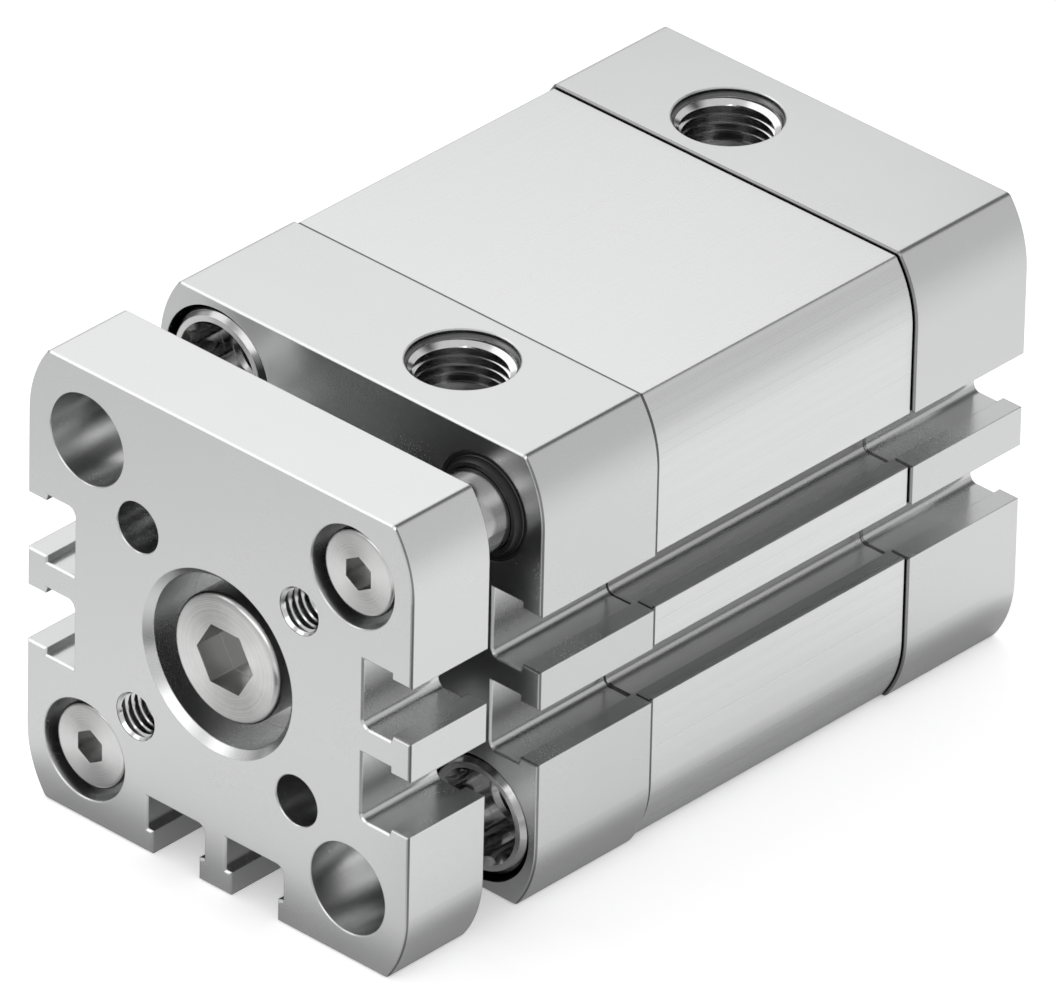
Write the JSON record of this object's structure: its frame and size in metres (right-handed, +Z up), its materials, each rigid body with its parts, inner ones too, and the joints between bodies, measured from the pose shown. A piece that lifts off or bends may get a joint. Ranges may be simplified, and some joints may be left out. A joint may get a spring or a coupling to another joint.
{
  "type": "guided pneumatic cylinder",
  "caption": "Compact guided pneumatic cylinder: square slotted aluminium body with air ports on top, and a square plate on the piston rod, kept from turning by guide rods.",
  "frame": {"origin": "on the piston axis, in the front face of the front cap", "axes": "+Y along the stroke towards the rear cap, with the plate at -Y; +Z up, out of the air ports; +X to the right seen from the front"},
  "size_m": [0.047, 0.0807, 0.047],
  "materials": {
    "aluminium_satin": "satin",
    "aluminium_brushed": "satin",
    "turned_steel": "satin",
    "polished_steel": "polished",
    "black_rubber": "matte",
    "bearing_metal": "satin",
    "magnet_compound": "matte",
    "guide_ring_plastic": "matte"
  },
  "bodies": {
    "housing": {"front_cap": "aluminium_satin", "barrel": "aluminium_brushed", "rear_cap": "aluminium_satin", "front_cap_o_ring": "black_rubber", "rear_cap_o_ring": "black_rubber", "front_cushion_ring": "black_rubber", "rear_cushion_ring": "black_rubber", "rod_bush": "bearing_metal", "rod_seal": "black_rubber", "guide_bush_right": "bearing_metal", "guide_bush_left": "bearing_metal", "guide_wiper_right": "black_rubber", "guide_wiper_left": "black_rubber", "front_collar_screws": "turned_steel", "rear_collar_screws": "turned_steel"},
    "carriage": {"yoke_plate": "aluminium_satin", "rod_screw": "turned_steel", "guide_rod_screws": "turned_steel", "piston_rod": "polished_steel", "guide_rod_right": "polished_steel", "guide_rod_left": "polished_steel", "piston_front_half": "aluminium_satin", "piston_rear_half": "aluminium_satin", "piston_screw": "turned_steel", "piston_magnet": "magnet_compound", "piston_guide_ring": "guide_ring_plastic", "piston_front_seal": "black_rubber", "piston_rear_seal": "black_rubber"}
  },
  "joints": [
    {"name": "stroke", "type": "slide", "parent": "housing", "child": "carriage", "axis": [0, -1, 0], "range_m": [0, 0.02]}
  ]
}
